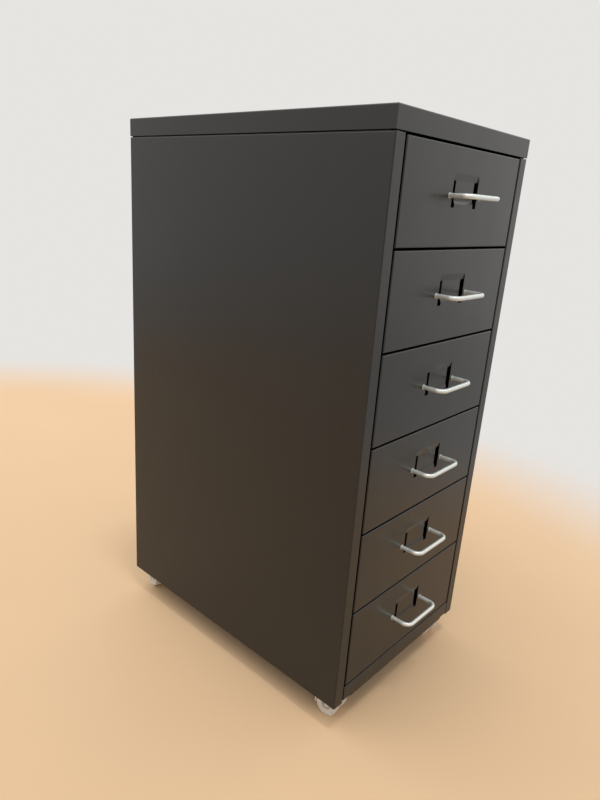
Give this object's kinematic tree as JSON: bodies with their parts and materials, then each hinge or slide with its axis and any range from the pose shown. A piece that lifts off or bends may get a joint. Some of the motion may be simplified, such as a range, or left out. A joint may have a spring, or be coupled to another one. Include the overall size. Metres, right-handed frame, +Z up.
{
  "type": "drawer cabinet",
  "caption": "Narrow steel cabinet with a stack of sliding drawers, bent-wire pulls with pressed label holders, and small twin-wheel castors.",
  "frame": {"origin": "on the floor under the middle of the overall box, which includes the handles", "axes": "+Z up, -Y towards the front where the drawers open, +X to the right as seen from the front"},
  "size_m": [0.28, 0.4314, 0.69],
  "materials": {
    "dark_coat": "satin powder coat, dark warm grey",
    "inner_coat": "satin powder coat, darker",
    "bright_wire": "bright zinc, polished",
    "pin_steel": "plain zinc-plated steel",
    "frosted_plastic": "translucent frosted plastic"
  },
  "bodies": {
    "cabinet": {"side_panel_left": "dark_coat", "side_panel_right": "dark_coat", "top_lid": "dark_coat", "base_pan": "dark_coat", "back_panel": "dark_coat", "back_screws": "pin_steel", "runner_left_1": "inner_coat", "runner_left_2": "inner_coat", "runner_left_3": "inner_coat", "runner_left_4": "inner_coat", "runner_left_5": "inner_coat", "runner_left_6": "inner_coat", "runner_right_1": "inner_coat", "runner_right_2": "inner_coat", "runner_right_3": "inner_coat", "runner_right_4": "inner_coat", "runner_right_5": "inner_coat", "runner_right_6": "inner_coat", "castor_socket_fl": "frosted_plastic", "castor_socket_fr": "frosted_plastic", "castor_socket_rl": "frosted_plastic", "castor_socket_rr": "frosted_plastic"},
    "drawer_1": {"drawer_front_1": "dark_coat", "drawer_tray_1": "inner_coat", "drawer_handle_1": "bright_wire"},
    "drawer_2": {"drawer_front_2": "dark_coat", "drawer_tray_2": "inner_coat", "drawer_handle_2": "bright_wire"},
    "drawer_3": {"drawer_front_3": "dark_coat", "drawer_tray_3": "inner_coat", "drawer_handle_3": "bright_wire"},
    "drawer_4": {"drawer_front_4": "dark_coat", "drawer_tray_4": "inner_coat", "drawer_handle_4": "bright_wire"},
    "drawer_5": {"drawer_front_5": "dark_coat", "drawer_tray_5": "inner_coat", "drawer_handle_5": "bright_wire"},
    "drawer_6": {"drawer_front_6": "dark_coat", "drawer_tray_6": "inner_coat", "drawer_handle_6": "bright_wire"},
    "castor_fl": {"castor_housing_fl": "frosted_plastic", "castor_stem_fl": "pin_steel", "castor_axle_fl": "pin_steel"},
    "wheel_outer_fl": {"wheel_outer_fl": "frosted_plastic"},
    "wheel_inner_fl": {"wheel_inner_fl": "frosted_plastic"},
    "castor_fr": {"castor_housing_fr": "frosted_plastic", "castor_stem_fr": "pin_steel", "castor_axle_fr": "pin_steel"},
    "wheel_outer_fr": {"wheel_outer_fr": "frosted_plastic"},
    "wheel_inner_fr": {"wheel_inner_fr": "frosted_plastic"},
    "castor_rl": {"castor_housing_rl": "frosted_plastic", "castor_stem_rl": "pin_steel", "castor_axle_rl": "pin_steel"},
    "wheel_outer_rl": {"wheel_outer_rl": "frosted_plastic"},
    "wheel_inner_rl": {"wheel_inner_rl": "frosted_plastic"},
    "castor_rr": {"castor_housing_rr": "frosted_plastic", "castor_stem_rr": "pin_steel", "castor_axle_rr": "pin_steel"},
    "wheel_outer_rr": {"wheel_outer_rr": "frosted_plastic"},
    "wheel_inner_rr": {"wheel_inner_rr": "frosted_plastic"}
  },
  "joints": [
    {"name": "drawer_1_slide", "type": "slide", "parent": "cabinet", "child": "drawer_1", "axis": [0, -1, 0], "range_m": [0, 0.31]},
    {"name": "drawer_2_slide", "type": "slide", "parent": "cabinet", "child": "drawer_2", "axis": [0, -1, 0], "range_m": [0, 0.31]},
    {"name": "drawer_3_slide", "type": "slide", "parent": "cabinet", "child": "drawer_3", "axis": [0, -1, 0], "range_m": [0, 0.31]},
    {"name": "drawer_4_slide", "type": "slide", "parent": "cabinet", "child": "drawer_4", "axis": [0, -1, 0], "range_m": [0, 0.31]},
    {"name": "drawer_5_slide", "type": "slide", "parent": "cabinet", "child": "drawer_5", "axis": [0, -1, 0], "range_m": [0, 0.31]},
    {"name": "drawer_6_slide", "type": "slide", "parent": "cabinet", "child": "drawer_6", "axis": [0, -1, 0], "range_m": [0, 0.31]},
    {"name": "castor_fl_swivel", "type": "hinge", "parent": "cabinet", "child": "castor_fl", "pos_m": [-0.1105, -0.1515, 0.056], "axis": [0, 0, 1], "continuous": true},
    {"name": "wheel_outer_fl_spin", "type": "hinge", "parent": "castor_fl", "child": "wheel_outer_fl", "pos_m": [-0.10945, -0.16345, 0.014], "axis": [0.9962, 0.0872, 0], "continuous": true},
    {"name": "wheel_inner_fl_spin", "type": "hinge", "parent": "castor_fl", "child": "wheel_inner_fl", "pos_m": [-0.10945, -0.16345, 0.014], "axis": [0.9962, 0.0872, 0], "continuous": true},
    {"name": "castor_fr_swivel", "type": "hinge", "parent": "cabinet", "child": "castor_fr", "pos_m": [0.1105, -0.1515, 0.056], "axis": [0, 0, 1], "continuous": true},
    {"name": "wheel_outer_fr_spin", "type": "hinge", "parent": "castor_fr", "child": "wheel_outer_fr", "pos_m": [0.10966, -0.16347, 0.014], "axis": [0.9976, -0.0698, 0], "continuous": true},
    {"name": "wheel_inner_fr_spin", "type": "hinge", "parent": "castor_fr", "child": "wheel_inner_fr", "pos_m": [0.10966, -0.16347, 0.014], "axis": [0.9976, -0.0698, 0], "continuous": true},
    {"name": "castor_rl_swivel", "type": "hinge", "parent": "cabinet", "child": "castor_rl", "pos_m": [-0.1105, 0.1845, 0.056], "axis": [0, 0, 1], "continuous": true},
    {"name": "wheel_outer_rl_spin", "type": "hinge", "parent": "castor_rl", "child": "wheel_outer_rl", "pos_m": [-0.10842, 0.19632, 0.014], "axis": [-0.9848, 0.1736, 0], "continuous": true},
    {"name": "wheel_inner_rl_spin", "type": "hinge", "parent": "castor_rl", "child": "wheel_inner_rl", "pos_m": [-0.10842, 0.19632, 0.014], "axis": [-0.9848, 0.1736, 0], "continuous": true},
    {"name": "castor_rr_swivel", "type": "hinge", "parent": "cabinet", "child": "castor_rr", "pos_m": [0.1105, 0.1845, 0.056], "axis": [0, 0, 1], "continuous": true},
    {"name": "wheel_outer_rr_spin", "type": "hinge", "parent": "castor_rr", "child": "wheel_outer_rr", "pos_m": [0.11134, 0.19647, 0.014], "axis": [-0.9976, 0.0698, 0], "continuous": true},
    {"name": "wheel_inner_rr_spin", "type": "hinge", "parent": "castor_rr", "child": "wheel_inner_rr", "pos_m": [0.11134, 0.19647, 0.014], "axis": [-0.9976, 0.0698, 0], "continuous": true}
  ]
}
